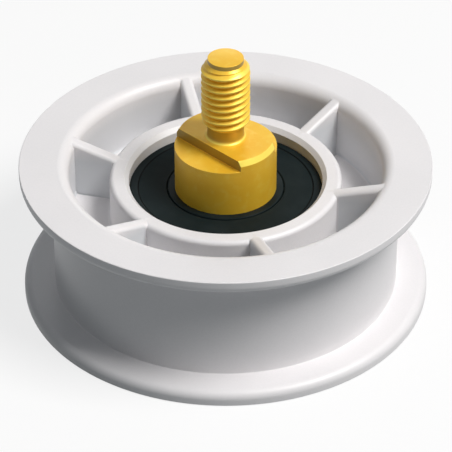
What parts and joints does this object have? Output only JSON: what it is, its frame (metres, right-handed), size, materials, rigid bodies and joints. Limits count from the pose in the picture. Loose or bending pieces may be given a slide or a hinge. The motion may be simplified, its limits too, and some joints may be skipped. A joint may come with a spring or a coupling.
{
  "type": "tensioner pulley",
  "caption": "Flanged, ribbed plastic belt pulley on a sealed ball bearing, with a yellow plated stud that has a tongued collar and a threaded end.",
  "frame": {"origin": "centre of the lower flange's outer face, on the pulley's axis", "axes": "+Z along the axis towards the threaded end of the stud; +X along the tongue across the stud's collar"},
  "size_m": [0.085, 0.085, 0.0551],
  "materials": {
    "pulley_plastic": "satin moulded, light grey",
    "black_steel": "blackened, ground",
    "seal_rubber": "matt black",
    "cage_plastic": "natural polyamide",
    "ball_steel": "polished bearing steel",
    "yellow_zinc": "turned, yellow passivated zinc",
    "spring_steel": "phosphated spring steel"
  },
  "bodies": {
    "stud_assembly": {"stud": "yellow_zinc", "bearing_inner_ring": "black_steel", "retaining_ring": "spring_steel"},
    "pulley": {"pulley_body": "pulley_plastic", "bearing_outer_ring": "black_steel", "bearing_seal_front": "seal_rubber", "bearing_seal_rear": "seal_rubber"},
    "cage_front": {"bearing_cage_front": "cage_plastic"},
    "ball_front_1_body": {"ball_front_1": "ball_steel"},
    "ball_front_2_body": {"ball_front_2": "ball_steel"},
    "ball_front_3_body": {"ball_front_3": "ball_steel"},
    "ball_front_4_body": {"ball_front_4": "ball_steel"},
    "ball_front_5_body": {"ball_front_5": "ball_steel"},
    "ball_front_6_body": {"ball_front_6": "ball_steel"},
    "ball_front_7_body": {"ball_front_7": "ball_steel"},
    "ball_front_8_body": {"ball_front_8": "ball_steel"},
    "cage_rear": {"bearing_cage_rear": "cage_plastic"},
    "ball_rear_1_body": {"ball_rear_1": "ball_steel"},
    "ball_rear_2_body": {"ball_rear_2": "ball_steel"},
    "ball_rear_3_body": {"ball_rear_3": "ball_steel"},
    "ball_rear_4_body": {"ball_rear_4": "ball_steel"},
    "ball_rear_5_body": {"ball_rear_5": "ball_steel"},
    "ball_rear_6_body": {"ball_rear_6": "ball_steel"},
    "ball_rear_7_body": {"ball_rear_7": "ball_steel"},
    "ball_rear_8_body": {"ball_rear_8": "ball_steel"}
  },
  "joints": [
    {"name": "pulley_spin", "type": "hinge", "parent": "stud_assembly", "child": "pulley", "pos_m": [0, 0, 0.01525], "axis": [0, 0, 1], "continuous": true},
    {"name": "cage_front_spin", "type": "hinge", "parent": "stud_assembly", "child": "cage_front", "pos_m": [0, 0, 0.01888], "axis": [0, 0, 1], "continuous": true},
    {"name": "ball_front_1_roll", "type": "hinge", "parent": "cage_front", "child": "ball_front_1_body", "pos_m": [0.01425, 0, 0.01888], "axis": [0, 0, 1], "continuous": true},
    {"name": "ball_front_2_roll", "type": "hinge", "parent": "cage_front", "child": "ball_front_2_body", "pos_m": [0.01008, 0.01008, 0.01888], "axis": [0, 0, 1], "continuous": true},
    {"name": "ball_front_3_roll", "type": "hinge", "parent": "cage_front", "child": "ball_front_3_body", "pos_m": [0, 0.01425, 0.01888], "axis": [0, 0, 1], "continuous": true},
    {"name": "ball_front_4_roll", "type": "hinge", "parent": "cage_front", "child": "ball_front_4_body", "pos_m": [-0.01008, 0.01008, 0.01888], "axis": [0, 0, 1], "continuous": true},
    {"name": "ball_front_5_roll", "type": "hinge", "parent": "cage_front", "child": "ball_front_5_body", "pos_m": [-0.01425, 0, 0.01888], "axis": [0, 0, 1], "continuous": true},
    {"name": "ball_front_6_roll", "type": "hinge", "parent": "cage_front", "child": "ball_front_6_body", "pos_m": [-0.01008, -0.01008, 0.01888], "axis": [0, 0, 1], "continuous": true},
    {"name": "ball_front_7_roll", "type": "hinge", "parent": "cage_front", "child": "ball_front_7_body", "pos_m": [0, -0.01425, 0.01888], "axis": [0, 0, 1], "continuous": true},
    {"name": "ball_front_8_roll", "type": "hinge", "parent": "cage_front", "child": "ball_front_8_body", "pos_m": [0.01008, -0.01008, 0.01888], "axis": [0, 0, 1], "continuous": true},
    {"name": "cage_rear_spin", "type": "hinge", "parent": "stud_assembly", "child": "cage_rear", "pos_m": [0, 0, 0.01162], "axis": [0, 0, 1], "continuous": true},
    {"name": "ball_rear_1_roll", "type": "hinge", "parent": "cage_rear", "child": "ball_rear_1_body", "pos_m": [0.01316, 0.00545, 0.01162], "axis": [0, 0, 1], "continuous": true},
    {"name": "ball_rear_2_roll", "type": "hinge", "parent": "cage_rear", "child": "ball_rear_2_body", "pos_m": [0.00545, 0.01316, 0.01162], "axis": [0, 0, 1], "continuous": true},
    {"name": "ball_rear_3_roll", "type": "hinge", "parent": "cage_rear", "child": "ball_rear_3_body", "pos_m": [-0.00545, 0.01316, 0.01162], "axis": [0, 0, 1], "continuous": true},
    {"name": "ball_rear_4_roll", "type": "hinge", "parent": "cage_rear", "child": "ball_rear_4_body", "pos_m": [-0.01316, 0.00545, 0.01162], "axis": [0, 0, 1], "continuous": true},
    {"name": "ball_rear_5_roll", "type": "hinge", "parent": "cage_rear", "child": "ball_rear_5_body", "pos_m": [-0.01316, -0.00545, 0.01162], "axis": [0, 0, 1], "continuous": true},
    {"name": "ball_rear_6_roll", "type": "hinge", "parent": "cage_rear", "child": "ball_rear_6_body", "pos_m": [-0.00545, -0.01316, 0.01162], "axis": [0, 0, 1], "continuous": true},
    {"name": "ball_rear_7_roll", "type": "hinge", "parent": "cage_rear", "child": "ball_rear_7_body", "pos_m": [0.00545, -0.01316, 0.01162], "axis": [0, 0, 1], "continuous": true},
    {"name": "ball_rear_8_roll", "type": "hinge", "parent": "cage_rear", "child": "ball_rear_8_body", "pos_m": [0.01316, -0.00545, 0.01162], "axis": [0, 0, 1], "continuous": true}
  ],
  "couplings": [
    {"joint": "cage_front_spin", "follows": "pulley_spin", "ratio": 0.60526},
    {"joint": "ball_front_1_roll", "follows": "pulley_spin", "ratio": 2.2697},
    {"joint": "ball_front_2_roll", "follows": "pulley_spin", "ratio": 2.2697},
    {"joint": "ball_front_3_roll", "follows": "pulley_spin", "ratio": 2.2697},
    {"joint": "ball_front_4_roll", "follows": "pulley_spin", "ratio": 2.2697},
    {"joint": "ball_front_5_roll", "follows": "pulley_spin", "ratio": 2.2697},
    {"joint": "ball_front_6_roll", "follows": "pulley_spin", "ratio": 2.2697},
    {"joint": "ball_front_7_roll", "follows": "pulley_spin", "ratio": 2.2697},
    {"joint": "ball_front_8_roll", "follows": "pulley_spin", "ratio": 2.2697},
    {"joint": "cage_rear_spin", "follows": "pulley_spin", "ratio": 0.60526},
    {"joint": "ball_rear_1_roll", "follows": "pulley_spin", "ratio": 2.2697},
    {"joint": "ball_rear_2_roll", "follows": "pulley_spin", "ratio": 2.2697},
    {"joint": "ball_rear_3_roll", "follows": "pulley_spin", "ratio": 2.2697},
    {"joint": "ball_rear_4_roll", "follows": "pulley_spin", "ratio": 2.2697},
    {"joint": "ball_rear_5_roll", "follows": "pulley_spin", "ratio": 2.2697},
    {"joint": "ball_rear_6_roll", "follows": "pulley_spin", "ratio": 2.2697},
    {"joint": "ball_rear_7_roll", "follows": "pulley_spin", "ratio": 2.2697},
    {"joint": "ball_rear_8_roll", "follows": "pulley_spin", "ratio": 2.2697}
  ]
}
